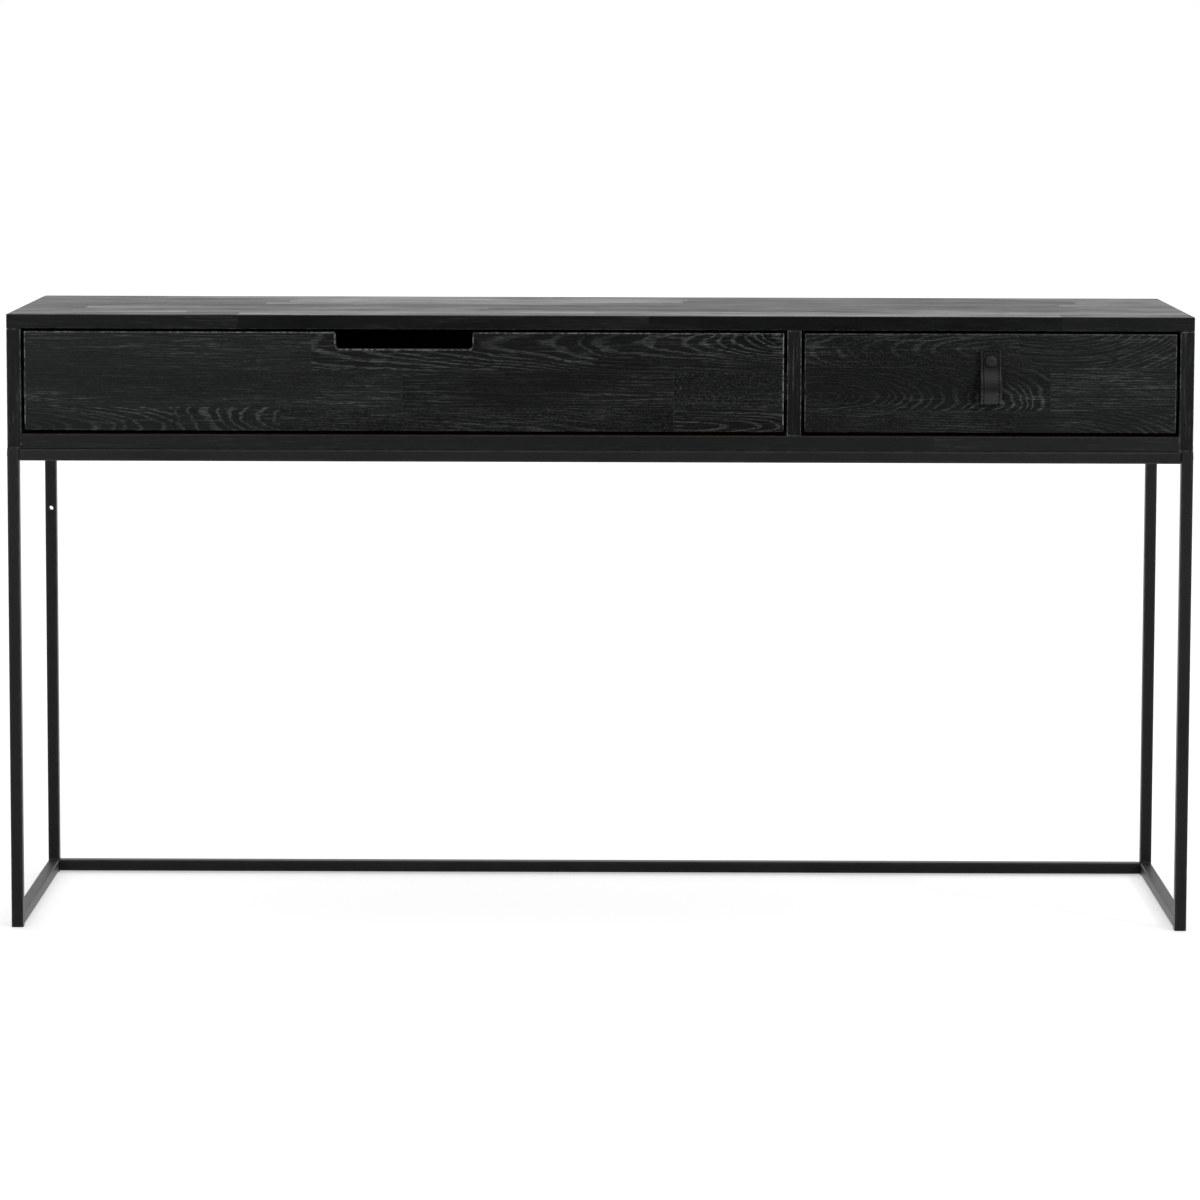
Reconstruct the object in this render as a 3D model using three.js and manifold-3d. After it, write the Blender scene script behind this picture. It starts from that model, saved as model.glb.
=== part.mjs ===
// A writing desk: a shallow case of black-stained oak with a wide and a narrow drawer, standing on a
// frame of slim square steel tube. Millimetres, +Z up. The drawers face -Y and the desk is long in X.

import * as THREE from 'three';
import { mergeVertices } from 'three/addons/utils/BufferGeometryUtils.js';
import Module from 'manifold-3d';

const wasm = await Module();
wasm.setup();

// Case
const caseWidth = 1500;
const caseDepth = 400;
const caseHeight = 170;
const boardThickness = 18;
const backThickness = 12;
const narrowOpening = 478; // clear width of the right-hand compartment
const arris = 0.5; // eased edge of every board
const seam = 0.25; // left between pieces that touch

// Steel frame
const frameHeight = 615; // floor to the underside of the case, which rests on the side frames
const frameOverhang = 0.5; // the steel stands this far proud of the case on every side
const tubeSize = 15;
const tubeWall = 1.5;
const tubeCorner = 1.6;
const legCapThickness = 2;
const railDrop = 0.8; // from the case down to the front and rear top rails
const railEndPlate = 5;
const glideHeight = 1.5;
const glidePlugHeight = 3.5;
const legHoleRadius = 3.25;
const legHoleHeight = 498; // above the floor, in the rear left leg only

// Fixings
const washerGap = 1.25; // between a leg and the end of a top rail
const washerRadius = 6;
const caseScrewInset = 80; // from the front and from the back of the case
const caseScrewRadius = 2;
const caseScrewHeadRadius = 4;
const caseScrewHeadHeight = 2.4;
const caseScrewBite = 25; // length inside the side panel
const railBoltRadius = 2.5;
const railBoltHeadRadius = 5.25;
const railBoltHeadHeight = 2.6;
const railBoltHeadRise = 0.4; // proud of the leg
const railBoltBite = 10; // length past the leg, through the rail's end plate
const socketRadius = 1.6;
const socketDepth = 1.5;
const holeClearance = 0.4; // on the radius of every drilled hole

// Drawers
const frontThickness = 18;
const frontRecess = 1; // behind the case's front edges
const frontSideGap = 4;
const frontTopGap = 3.5;
const frontBottomGap = 5;
const drawerBoard = 12;
const drawerBottomThickness = 6;
const drawerBoxHeight = 100;
const drawerBoxRise = 7; // underside of the box above the underside of its front
const drawerBottomRise = 10; // drawer bottom above the underside of the box
const grooveDepth = 6;
const drawerRearClearance = 17;
const cutoutWidth = 173;
const cutoutDepth = 21.5;
const cutoutRadius = 5;

// Ball-bearing runners
const runnerSpace = 13; // between the case and the drawer box, on each side
const runnerHeight = 35;
const runnerSheet = 1.2;
const runnerSetback = 2; // behind the drawer front
const runnerRace = 1.8; // left for the balls between two members
const runnerStep = 1; // between two webs, or a flange and the next web

// Strap handle
const strapWidth = 25;
const strapThickness = 2.5;
const strapDrop = 71;
const strapTopInset = 18.5; // below the top of the drawer front
const strapProjection = 18;
const strapCorner = 2.5;
const strapArris = 0.4;
const studDrop = 16; // below the top of the strap
const studHeadRadius = 7.5;
const studHeadHeight = 3.6;
const studRim = 0.8;
const studPostRadius = 2.8;
const studPostDepth = 14; // inside the drawer front
const studBoreRadius = 1.9;
const studBoreDepth = 12;
const studScrewRadius = 1.6;
const studScrewHeadRadius = 6;
const studScrewHeadHeight = 1.8;

// Levels and places that follow from the sizes above
const caseTop = frameHeight + caseHeight;
const openingBase = frameHeight + boardThickness;
const openingTop = caseTop - boardThickness;
const innerHalfWidth = caseWidth / 2 - boardThickness;
const dividerRight = innerHalfWidth - narrowOpening;
const dividerLeft = dividerRight - boardThickness;
const backFace = caseDepth - backThickness;
const legX = caseWidth / 2 + frameOverhang - tubeSize / 2;
const frontLegY = tubeSize / 2 - frameOverhang;
const rearLegY = caseDepth + frameOverhang - tubeSize / 2;
const sideTopRailZ = frameHeight - seam - tubeSize / 2;
const crossTopRailZ = frameHeight - railDrop - tubeSize / 2;
const baseRailZ = glideHeight + seam + tubeSize / 2;

const finishes = {
  oak: { color: 0x232526, roughness: 0.55, metalness: 0 },
  steel: { color: 0x262829, roughness: 0.5, metalness: 0.2 },
  plastic: { color: 0x151515, roughness: 0.6, metalness: 0 },
  screw: { color: 0x1b1b1c, roughness: 0.4, metalness: 0.7 },
  runner: { color: 0xaeb1b3, roughness: 0.35, metalness: 1 },
  leather: { color: 0x121213, roughness: 0.5, metalness: 0 },
  stud: { color: 0x0c0c0d, roughness: 0.3, metalness: 0.5 },
};

function piece(name, geometry, finish) {
  const mesh = new THREE.Mesh(geometry, new THREE.MeshStandardMaterial(finishes[finish]));
  mesh.name = name;
  return mesh;
}

function toSolid(geometry) {
  const bare = geometry.clone();
  bare.deleteAttribute('normal');
  bare.deleteAttribute('uv');
  const merged = mergeVertices(bare);
  return new wasm.Manifold(new wasm.Mesh({
    numProp: 3,
    vertProperties: merged.attributes.position.array,
    triVerts: new Uint32Array(merged.index.array),
  }));
}

function toGeometry(solid) {
  const result = solid.getMesh();
  const geometry = new THREE.BufferGeometry();
  geometry.setAttribute('position', new THREE.BufferAttribute(result.vertProperties, 3));
  geometry.setIndex(new THREE.BufferAttribute(result.triVerts, 1));
  geometry.computeVertexNormals();
  return geometry;
}

function cut(body, tools) {
  return toGeometry(tools.reduce((solid, tool) => solid.subtract(toSolid(tool)), toSolid(body)));
}

// Shapes

function box(xRange, yRange, zRange) {
  const geometry = new THREE.BoxGeometry(
    xRange[1] - xRange[0], yRange[1] - yRange[0], zRange[1] - zRange[0]);
  return geometry.translate(
    (xRange[0] + xRange[1]) / 2, (yRange[0] + yRange[1]) / 2, (zRange[0] + zRange[1]) / 2);
}

// A cylinder or cone along one axis, centred on a point. A cone is wide on the axis's positive side.
function rod(radius, length, axis, centre, farRadius = radius) {
  const geometry = new THREE.CylinderGeometry(farRadius, radius, length, 16);
  if (axis === 'x') geometry.rotateZ(-Math.PI / 2);
  if (axis === 'z') geometry.rotateX(Math.PI / 2);
  return geometry.translate(...centre);
}

// A prism along +Z from z = 0, with the arrises round its two ends eased inwards.
function prism(outline, length, ease, segments) {
  const geometry = new THREE.ExtrudeGeometry(outline, {
    depth: length - 2 * ease,
    bevelEnabled: ease > 0,
    bevelThickness: ease,
    bevelSize: ease,
    bevelOffset: -ease,
    bevelSegments: segments,
    curveSegments: 4,
  });
  return geometry.translate(0, 0, ease);
}

function roundedRectangle(width, height, radius) {
  const [x, y] = [width / 2, height / 2];
  const outline = new THREE.Shape();
  outline.moveTo(-x + radius, -y);
  outline.lineTo(x - radius, -y).absarc(x - radius, -y + radius, radius, -Math.PI / 2, 0);
  outline.lineTo(x, y - radius).absarc(x - radius, y - radius, radius, 0, Math.PI / 2);
  outline.lineTo(-x + radius, y).absarc(-x + radius, y - radius, radius, Math.PI / 2, Math.PI);
  outline.lineTo(-x, -y + radius);
  outline.absarc(-x + radius, -y + radius, radius, Math.PI, Math.PI * 1.5);
  return outline;
}

// A board that fills a box, with a small flat on each of its twelve edges.
function easedBoard(width, depth, height) {
  const [x, y] = [width / 2, depth / 2];
  const outline = new THREE.Shape([
    [x - arris, -y], [x, -y + arris], [x, y - arris], [x - arris, y],
    [-x + arris, y], [-x, y - arris], [-x, -y + arris], [-x + arris, -y],
  ].map(([u, v]) => new THREE.Vector2(u, v)));
  return prism(outline, height, arris, 1).translate(0, 0, -height / 2);
}

function board(name, xRange, yRange, zRange, tools = []) {
  const ranges = [xRange, yRange, zRange];
  const centre = ranges.map(([low, high]) => (low + high) / 2);
  const body = easedBoard(...ranges.map(([low, high]) => high - low));
  const local = tools.map((tool) => tool.translate(...centre.map((v) => -v)));
  const mesh = piece(name, local.length ? cut(body, local) : body, 'oak');
  mesh.position.set(...centre);
  return mesh;
}

// A square tube along +Z from z = 0, closed by a plate of the given thickness at either end.
function tube(length, startPlate, endPlate, tools = []) {
  const outer = prism(roundedRectangle(tubeSize, tubeSize, tubeCorner), length, 0, 1);
  const half = tubeSize / 2 - tubeWall;
  const start = startPlate > 0 ? startPlate : -1;
  const end = endPlate > 0 ? length - endPlate : length + 1;
  return cut(outer, [box([-half, half], [-half, half], [start, end]), ...tools]);
}

// Case

function makeCase() {
  const group = new THREE.Group();
  const inner = innerHalfWidth - seam;
  const outer = caseWidth / 2;
  const sideHeight = [frameHeight, openingTop - seam];
  const screwHoles = (side) => caseScrewYs().map((y) => rod(
    caseScrewRadius + holeClearance, 2 * (caseScrewBite + 1), 'z', [side * legX, y, frameHeight]));
  group.add(
    board('top_panel', [-outer, outer], [0, caseDepth], [openingTop, caseTop]),
    board('left_side_panel', [-outer, -innerHalfWidth], [0, caseDepth], sideHeight, screwHoles(-1)),
    board('right_side_panel', [innerHalfWidth, outer], [0, caseDepth], sideHeight, screwHoles(1)),
    board('bottom_panel', [-inner, inner], [0, caseDepth], [frameHeight, openingBase]),
    board('divider_panel', [dividerLeft, dividerRight], [0, backFace - seam],
      [openingBase + seam, openingTop - seam]),
    board('back_panel', [-inner, inner], [backFace, caseDepth],
      [openingBase + seam, openingTop - seam]),
  );
  return group;
}

// Frame

function caseScrewYs() {
  return [caseScrewInset, caseDepth - caseScrewInset];
}

// Cuts a leg's outer wall for a countersunk head and its inner wall for the bolt.
function boltCuts(side, height) {
  const face = side * tubeSize / 2;
  const radius = railBoltHeadRadius + holeClearance;
  const slope = (railBoltHeadRadius - railBoltRadius) / railBoltHeadHeight;
  const reach = tubeWall + 0.5;
  const narrow = radius - slope * tubeWall - slope * 0.5;
  const sink = rod(side > 0 ? narrow : radius, reach, 'x', [face - side * reach / 2, 0, height],
    side > 0 ? radius : narrow);
  const through = rod(railBoltRadius + holeClearance, 4 * tubeWall, 'x', [-face, 0, height]);
  return [sink, through];
}

function leg(name, side, y, boltHeights, hasHole) {
  const bottom = glideHeight + seam;
  const tools = boltHeights.flatMap((height) => boltCuts(side, height - bottom));
  if (hasHole) tools.push(rod(legHoleRadius, 2 * tubeSize, 'y', [0, 0, legHoleHeight - bottom]));
  const length = frameHeight - seam - bottom;
  const mesh = piece(name, tube(length, 0, legCapThickness, tools), 'steel');
  mesh.position.set(side * legX, y, bottom);
  return mesh;
}

// A rail across the desk, between the legs, with tapped end plates.
function crossRail(name, y, z, endGap) {
  const length = 2 * (legX - tubeSize / 2 - endGap);
  const bolt = rod(railBoltRadius + holeClearance, length + 2, 'z', [0, 0, length / 2]);
  const mesh = piece(name, tube(length, railEndPlate, railEndPlate, [bolt]), 'steel');
  mesh.rotation.y = Math.PI / 2;
  mesh.position.set(-length / 2, y, z);
  return mesh;
}

// A rail from the front leg to the rear leg of one side, drilled upright where screws pass.
function sideRail(name, side, z, screwYs) {
  const start = frontLegY + tubeSize / 2 + seam;
  const end = rearLegY - tubeSize / 2 - seam;
  const screws = screwYs.map((y) => rod(
    caseScrewRadius + holeClearance, 2 * tubeSize, 'y', [0, 0, y - start]));
  const mesh = piece(name, tube(end - start, 0, 0, screws), 'steel');
  mesh.rotation.x = -Math.PI / 2;
  mesh.position.set(side * legX, start, z);
  return mesh;
}

// A flat foot with a plug that fits the open end of the leg.
function glide(name, x, y) {
  const plug = tubeSize / 2 - tubeWall - seam;
  const foot = prism(roundedRectangle(tubeSize, tubeSize, tubeCorner), glideHeight, 0, 1);
  const stem = box([-plug, plug], [-plug, plug], [glideHeight / 2, glideHeight + glidePlugHeight]);
  const mesh = piece(name, toGeometry(toSolid(foot).add(toSolid(stem))), 'plastic');
  mesh.position.set(x, y, 0);
  return mesh;
}

// A closed profile of radius and distance, turned about the +Y axis.
function turned(profile) {
  return new THREE.LatheGeometry(profile.map(([r, along]) => new THREE.Vector2(r, along)), 16);
}

// A screw along +Y with its head's outer face at 0 and a six-sided socket in it.
function screwBody(profile) {
  const socket = new THREE.CylinderGeometry(socketRadius, socketRadius, 2 * socketDepth, 6);
  return cut(turned(profile), [socket.translate(0, profile[0][1], 0)]);
}

// A screw that goes up through a side top rail into the side panel.
function caseScrew(name, side, y) {
  const underHead = caseScrewHeadHeight + seam;
  const tip = underHead + tubeSize + seam + caseScrewBite;
  const mesh = piece(name, screwBody([
    [0, 0], [caseScrewHeadRadius * 0.7, 0], [caseScrewHeadRadius, caseScrewHeadHeight * 0.5],
    [caseScrewHeadRadius, caseScrewHeadHeight], [caseScrewRadius, caseScrewHeadHeight],
    [caseScrewRadius, tip - 3], [0, tip],
  ]), 'screw');
  mesh.rotation.x = Math.PI / 2;
  mesh.position.set(side * legX, y, sideTopRailZ - tubeSize / 2 - underHead);
  return mesh;
}

// A plain ring between a leg and the end of a top rail.
function washer(name, side, y) {
  const bore = railBoltRadius + holeClearance;
  const top = washerGap - 2 * seam;
  const mesh = piece(name, turned([
    [bore, 0], [washerRadius, 0], [washerRadius, top], [bore, top], [bore, 0],
  ]), 'plastic');
  mesh.rotation.z = side * Math.PI / 2;
  mesh.position.set(side * (legX - tubeSize / 2 - seam), y, crossTopRailZ);
  return mesh;
}

// A low-headed countersunk bolt through a leg that holds one end of a cross rail.
function railBolt(name, side, y, z) {
  const tip = tubeSize + railBoltBite;
  const mesh = piece(name, screwBody([
    [0, -railBoltHeadRise], [railBoltHeadRadius * 0.9, -railBoltHeadRise], [railBoltHeadRadius, 0],
    [railBoltRadius, railBoltHeadHeight], [railBoltRadius, tip], [0, tip],
  ]), 'screw');
  mesh.rotation.z = side * Math.PI / 2;
  mesh.position.set(side * (legX + tubeSize / 2), y, z);
  return mesh;
}

function makeFrame() {
  const group = new THREE.Group();
  for (const [label, side] of [['left', -1], ['right', 1]]) {
    group.add(
      leg(`front_${label}_leg`, side, frontLegY, [crossTopRailZ], false),
      leg(`rear_${label}_leg`, side, rearLegY, [crossTopRailZ, baseRailZ], side < 0),
      sideRail(`${label}_top_rail`, side, sideTopRailZ, caseScrewYs()),
      sideRail(`${label}_base_rail`, side, baseRailZ, []),
      glide(`front_${label}_glide`, side * legX, frontLegY),
      glide(`rear_${label}_glide`, side * legX, rearLegY),
      railBolt(`front_top_${label}_bolt`, side, frontLegY, crossTopRailZ),
      railBolt(`rear_top_${label}_bolt`, side, rearLegY, crossTopRailZ),
      railBolt(`rear_base_${label}_bolt`, side, rearLegY, baseRailZ),
      washer(`front_top_${label}_washer`, side, frontLegY),
      washer(`rear_top_${label}_washer`, side, rearLegY),
    );
    caseScrewYs().forEach((y, i) => {
      group.add(caseScrew(`${['front', 'rear'][i]}_${label}_case_screw`, side, y));
    });
  }
  group.add(
    crossRail('front_top_rail', frontLegY, crossTopRailZ, washerGap),
    crossRail('rear_top_rail', rearLegY, crossTopRailZ, washerGap),
    crossRail('rear_base_rail', rearLegY, baseRailZ, seam),
  );
  return group;
}

// Runners

// A folded channel along +Y: its web stands on one side and its flanges point along +X.
function channel(name, height, flange, length) {
  const [outer, inner] = [height / 2, height / 2 - runnerSheet];
  const outline = new THREE.Shape([
    [0, -outer], [flange, -outer], [flange, -inner], [runnerSheet, -inner],
    [runnerSheet, inner], [flange, inner], [flange, outer], [0, outer],
  ].map(([u, v]) => new THREE.Vector2(u, v)));
  const geometry = prism(outline, length, 0, 1).rotateX(Math.PI / 2).translate(0, length, 0);
  return piece(name, geometry, 'runner');
}

// Three nested members: one on the case, one between, and one on the drawer that faces the other two.
function runner(prefix, wallX, direction, start, length, z) {
  const outerHeight = runnerHeight;
  const middleHeight = outerHeight - 2 * (runnerSheet + runnerRace);
  const innerHeight = middleHeight - 2 * (runnerSheet + runnerRace);
  const thickness = runnerSpace - 2 * seam;
  const middleWeb = runnerSheet + runnerStep;
  const members = [
    channel(`${prefix}_case_member`, outerHeight, thickness - runnerSheet - runnerStep, length),
    channel(`${prefix}_middle_member`, middleHeight, thickness - middleWeb - runnerSheet, length),
    channel(`${prefix}_drawer_member`, innerHeight,
      thickness - middleWeb - runnerSheet - runnerStep, length),
  ];
  const offsets = [0, middleWeb, thickness];
  members.forEach((member, i) => {
    const flip = i === 2 ? -direction : direction;
    member.rotation.y = flip > 0 ? 0 : Math.PI;
    member.position.set(wallX + direction * (seam + offsets[i]), start, z);
  });
  return members;
}

// Drawers

// The outline of a drawer front in its own plane, with a finger cut-out in the top edge if asked.
function frontOutline(width, height, hasCutout) {
  const [x, r] = [width / 2, cutoutRadius];
  const outline = new THREE.Shape();
  outline.moveTo(-x, 0).lineTo(x, 0).lineTo(x, height);
  if (hasCutout) {
    const [half, floor] = [cutoutWidth / 2, height - cutoutDepth];
    outline.lineTo(half, height).lineTo(half, floor + r);
    outline.absarc(half - r, floor + r, r, 0, -Math.PI / 2, true);
    outline.lineTo(-half + r, floor);
    outline.absarc(-half + r, floor + r, r, -Math.PI / 2, -Math.PI, true);
    outline.lineTo(-half, height);
  }
  outline.lineTo(-x, height);
  return outline;
}

function makeDrawer(label, opening, hasCutout) {
  const group = new THREE.Group();
  const openingWidth = opening[1] - opening[0];
  group.position.x = (opening[0] + opening[1]) / 2;

  const frontWidth = openingWidth - 2 * frontSideGap;
  const frontBase = openingBase + frontBottomGap;
  const frontHeight = openingTop - frontTopGap - frontBase;
  const frontRear = frontRecess + frontThickness;

  const outer = openingWidth / 2 - runnerSpace;
  const inner = outer - drawerBoard;
  const sideStart = frontRear + seam;
  const boxEnd = backFace - drawerRearClearance;
  const boxBase = frontBase + drawerBoxRise;
  const boxTop = boxBase + drawerBoxHeight;
  const panel = [boxBase + drawerBottomRise, boxBase + drawerBottomRise + drawerBottomThickness];
  const groove = [panel[0] - seam, panel[1] + seam];
  const grooveReach = inner + grooveDepth;

  const frontTools = [
    box([-grooveReach, grooveReach], [frontRear - grooveDepth, frontRear + 1], groove),
  ];
  if (!hasCutout) {
    const height = boxLevels().stud;
    frontTools.push(rod(studPostRadius + holeClearance, 3 * frontThickness, 'y',
      [0, frontRecess + frontThickness / 2, height]));
  }
  const slab = prism(frontOutline(frontWidth, frontHeight, hasCutout), frontThickness, arris, 2)
    .rotateX(Math.PI / 2).translate(0, frontRear, frontBase);
  group.add(piece(`${label}_drawer_front`, cut(slab, frontTools), 'oak'));

  for (const [side, direction] of [['left', -1], ['right', 1]]) {
    const span = [direction * inner, direction * outer].sort((a, b) => a - b);
    const slot = [direction * (inner - 1), direction * (inner + grooveDepth)].sort((a, b) => a - b);
    group.add(board(`${label}_drawer_${side}_side`, span, [sideStart, boxEnd], [boxBase, boxTop],
      [box(slot, [sideStart - 1, boxEnd + 1], groove)]));
    const start = frontRear + runnerSetback;
    group.add(...runner(`${label}_drawer_${side}`, direction * openingWidth / 2, -direction, start,
      boxEnd - start, (boxBase + boxTop) / 2));
  }
  const backSpan = [seam - inner, inner - seam];
  const panelSpan = [seam - grooveReach, grooveReach - seam];
  group.add(
    board(`${label}_drawer_back`, backSpan, [boxEnd - drawerBoard, boxEnd], [panel[1] + seam, boxTop]),
    board(`${label}_drawer_bottom`, panelSpan, [frontRear - grooveDepth + seam, boxEnd], panel),
  );
  return group;
}

// Strap handle

function boxLevels() {
  const top = openingTop - frontTopGap - strapTopInset;
  return { strapTop: top, stud: top - studDrop };
}

// The strap's centre line, seen from the side: distance out from the drawer front, then height.
function strapLine() {
  const half = strapThickness / 2;
  const back = seam + half;
  const front = back + strapThickness + seam;
  const low = half - strapDrop;
  const out = strapProjection - half;
  const middle = (back + out) / 2;
  const path = new THREE.CurvePath();
  const point = (u, v) => new THREE.Vector2(u, v);
  const clampEnd = studDrop + studHeadRadius;
  const bellyHeight = low + strapProjection;
  path.add(new THREE.LineCurve(point(back, 0), point(back, -clampEnd)));
  path.add(new THREE.CubicBezierCurve(point(back, -clampEnd), point(back, low * 0.72),
    point(middle - strapProjection * 0.38, low), point(middle, low)));
  path.add(new THREE.CubicBezierCurve(point(middle, low), point(middle + strapProjection * 0.3, low),
    point(out, bellyHeight - strapProjection * 0.5), point(out, bellyHeight)));
  path.add(new THREE.CubicBezierCurve(point(out, bellyHeight), point(out, bellyHeight * 0.72),
    point(front, bellyHeight * 0.66), point(front, -clampEnd)));
  path.add(new THREE.LineCurve(point(front, -clampEnd), point(front, 0)));
  return path;
}

function strapOutline() {
  const path = strapLine();
  const steps = 44;
  const sides = [[], []];
  for (let i = 0; i <= steps; i += 1) {
    const centre = path.getPointAt(i / steps);
    const along = path.getTangentAt(i / steps);
    const across = new THREE.Vector2(-along.y, along.x).multiplyScalar(strapThickness / 2);
    sides[0].push(centre.clone().sub(across));
    sides[1].unshift(centre.clone().add(across));
  }
  return new THREE.Shape([...sides[0], ...sides[1]]);
}

function makeHandle() {
  const group = new THREE.Group();
  group.position.set((dividerRight + innerHalfWidth) / 2, frontRecess, boxLevels().strapTop);

  // The strip is extruded across its width, then its top corners are rounded and the stud hole drilled.
  const strip = prism(strapOutline(), strapWidth, strapArris, 1).translate(0, 0, -strapWidth / 2);
  strip.applyMatrix4(new THREE.Matrix4().makeBasis(
    new THREE.Vector3(0, -1, 0), new THREE.Vector3(0, 0, 1), new THREE.Vector3(-1, 0, 0)));
  const mask = prism(roundedRectangle(strapWidth, 2 * strapDrop, strapCorner), 4 * strapProjection, 0, 1)
    .rotateX(Math.PI / 2).translate(0, 2 * strapProjection, -strapDrop);
  const hole = rod(studPostRadius + holeClearance, 4 * strapProjection, 'y', [0, 0, -studDrop]);
  const strap = toSolid(strip).intersect(toSolid(mask)).subtract(toSolid(hole));
  group.add(piece('strap_handle', toGeometry(strap), 'leather'));

  // The stud's own axis points out of the drawer front, from the underside of its head.
  const clamped = 2 * strapThickness + 3 * seam;
  const postEnd = clamped + studPostDepth;
  const dome = [];
  for (let i = 0; i <= 6; i += 1) {
    const angle = (i / 6) * Math.PI / 2;
    dome.push([studHeadRadius * Math.cos(angle),
      studRim + (studHeadHeight - studRim) * Math.sin(angle)]);
  }
  dome[6][0] = 0;
  const stud = piece('strap_stud', turned([
    [0, studBoreDepth - postEnd], [studBoreRadius, studBoreDepth - postEnd],
    [studBoreRadius, -postEnd], [studPostRadius, -postEnd], [studPostRadius, 0],
    [studHeadRadius, 0], ...dome,
  ]), 'stud');
  stud.rotation.x = Math.PI;
  stud.position.set(0, -clamped, -studDrop);

  const tip = frontThickness - studPostDepth + studBoreDepth - 1;
  const screw = piece('strap_screw', turned([
    [0, -tip], [studScrewRadius, -tip], [studScrewRadius, seam],
    [studScrewHeadRadius, seam], [studScrewHeadRadius, seam + studScrewHeadHeight * 0.6],
    [studScrewHeadRadius * 0.8, seam + studScrewHeadHeight], [0, seam + studScrewHeadHeight],
  ]), 'stud');
  screw.position.set(0, frontThickness, -studDrop);
  group.add(stud, screw);
  return group;
}

const desk = new THREE.Group();
desk.add(
  makeCase(),
  makeFrame(),
  makeDrawer('left', [-innerHalfWidth, dividerLeft], true),
  makeDrawer('right', [dividerRight, innerHalfWidth], false),
  makeHandle(),
);

// The origin is on the floor, under the middle of the whole desk with its handle.
const foremost = Math.max(frameOverhang, strapProjection - frontRecess);
desk.position.y = (foremost - caseDepth - frameOverhang) / 2;

export default desk;
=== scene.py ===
import math

import bmesh
import bpy
from mathutils import Matrix, Vector


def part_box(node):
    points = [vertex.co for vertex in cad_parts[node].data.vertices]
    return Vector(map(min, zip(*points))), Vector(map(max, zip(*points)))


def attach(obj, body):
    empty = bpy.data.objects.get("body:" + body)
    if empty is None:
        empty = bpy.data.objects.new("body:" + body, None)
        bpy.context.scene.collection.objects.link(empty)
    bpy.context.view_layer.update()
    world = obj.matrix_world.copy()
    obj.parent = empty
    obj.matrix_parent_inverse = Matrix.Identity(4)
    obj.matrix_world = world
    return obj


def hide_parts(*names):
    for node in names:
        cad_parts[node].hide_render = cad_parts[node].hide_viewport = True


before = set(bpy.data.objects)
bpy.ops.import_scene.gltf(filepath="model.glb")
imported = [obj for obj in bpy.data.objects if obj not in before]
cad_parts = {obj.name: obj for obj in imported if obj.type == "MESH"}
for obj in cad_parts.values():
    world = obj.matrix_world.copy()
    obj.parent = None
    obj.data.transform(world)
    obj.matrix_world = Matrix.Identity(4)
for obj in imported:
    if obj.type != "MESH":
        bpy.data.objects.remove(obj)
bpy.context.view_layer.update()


# Choosing and finishing pieces

def letGo():
    bpy.ops.object.select_all(action="DESELECT")


def takeUp(piece):
    if bpy.context.mode != "OBJECT":
        bpy.ops.object.mode_set(mode="OBJECT")
    letGo()
    piece.select_set(True)
    bpy.context.view_layer.objects.active = piece


def openEdit(piece):
    takeUp(piece)
    bpy.ops.object.mode_set(mode="EDIT")


def closeEdit():
    bpy.ops.object.mode_set(mode="OBJECT")


def pickAll():
    bpy.ops.mesh.select_all(action="SELECT")


def pick(piece, mode, group, test):
    bpy.ops.mesh.select_mode(type=mode)
    bpy.ops.mesh.select_all(action="DESELECT")
    mesh = bmesh.from_edit_mesh(piece.data)
    for part in getattr(mesh, group):
        part.select_set(bool(test(part)))
    bmesh.update_edit_mesh(piece.data)


def pickFaces(piece, test):
    pick(piece, "FACE", "faces", test)


def pickEdges(piece, test):
    pick(piece, "EDGE", "edges", test)


def pickPoints(piece, test):
    pick(piece, "VERT", "verts", test)


def faceOutward():
    pickAll()
    bpy.ops.mesh.normals_make_consistent(inside=False)


def settle(piece):
    takeUp(piece)
    bpy.ops.object.transform_apply(location=True, rotation=True, scale=True)


def applied(piece, kind, **settings):
    takeUp(piece)
    modifier = piece.modifiers.new(kind.lower(), kind)
    for key, value in settings.items():
        setattr(modifier, key, value)
    bpy.ops.object.modifier_apply(modifier=modifier.name)


def smooth(piece, degrees=40):
    takeUp(piece)
    bpy.ops.object.shade_smooth_by_angle(angle=math.radians(degrees))
    applied(piece, "WEIGHTED_NORMAL", keep_sharp=True)


def block(name, low, high):
    low = Vector(low)
    high = Vector(high)
    letGo()
    bpy.ops.mesh.primitive_cube_add(size=1, location=(low + high) / 2, scale=high - low)
    piece = bpy.context.object
    piece.name = name
    settle(piece)
    return piece


def cutWith(piece, cutter):
    applied(piece, "BOOLEAN", operation="DIFFERENCE", solver="EXACT", object=cutter)
    bpy.data.objects.remove(cutter)


def drawOut(*way):
    bpy.ops.mesh.extrude_region_move(TRANSFORM_OT_translate={"value": way})


def bevelAll(offset, steps):
    pickAll()
    bpy.ops.mesh.bevel(offset=offset, segments=steps, affect="EDGES")


def copyTo(source, name, matrix):
    piece = source.copy()
    piece.data = source.data.copy()
    bpy.context.scene.collection.objects.link(piece)
    piece.name = name
    piece.matrix_world = matrix
    return piece


# The big flat faces get a narrow rim, so that wear and the painted edge highlight can fade from each edge.
def markRim(piece, rim, least, spared=lambda face: False):
    openEdit(piece)
    pickFaces(piece, lambda f: f.calc_area() > least and max(abs(c) for c in f.normal) > 0.9999
              and not spared(f))
    bpy.ops.mesh.inset(thickness=rim, use_individual=True)
    closeEdit()
    inner = set()
    for face in piece.data.polygons:
        if face.select:
            inner.update(face.vertices)
    worn = piece.data.attributes.new("worn", "FLOAT", "POINT")
    marks = [0.0 if i in inner else 1.0 for i in range(len(piece.data.vertices))]
    worn.data.foreach_set("value", marks)


def place(piece, body, slot, finish, *nodes):
    settle(piece)
    piece.data.materials.clear()
    piece.data.materials.append(finish)
    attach(piece, body)
    if nodes:
        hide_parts(*nodes)
    return piece


# Finishes, as sums of sockets

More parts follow.
